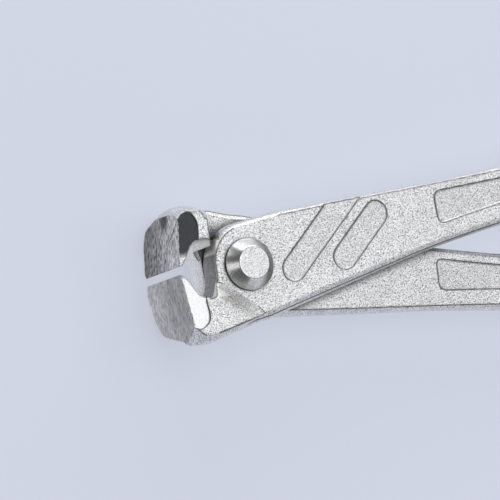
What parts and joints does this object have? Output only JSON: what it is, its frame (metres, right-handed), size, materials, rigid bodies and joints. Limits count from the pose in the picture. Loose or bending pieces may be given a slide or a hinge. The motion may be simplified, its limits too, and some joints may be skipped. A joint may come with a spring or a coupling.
{
  "type": "rebar tying pliers",
  "caption": "Long-handled end-cutting nipper with a riveted lap joint, wide ground jaws and dipped grips, for twisting and cutting binding wire.",
  "frame": {"origin": "on the pivot axis, at the lower flat of the rivet, with the tool lying flat", "axes": "+Z along the pivot axis, up from the surface it lies on; +X from the pivot to the handle ends; +Y from the lower to the upper handle, the direction in which the handles open"},
  "size_m": [0.2989, 0.0792, 0.0255],
  "materials": {
    "forged_steel": "satin",
    "rivet_steel": "polished",
    "dipped_vinyl": "smooth dipped"
  },
  "bodies": {
    "rear_lever": {"rear_half": "forged_steel", "pivot_rivet": "rivet_steel", "rear_grip": "dipped_vinyl"},
    "front_lever": {"front_half": "forged_steel", "front_grip": "dipped_vinyl"}
  },
  "joints": [
    {"name": "jaw_pivot", "type": "hinge", "parent": "rear_lever", "child": "front_lever", "pos_m": [0, 0, 0.01275], "axis": [0, 0, 1], "range_deg": [-4.2, 40]}
  ]
}
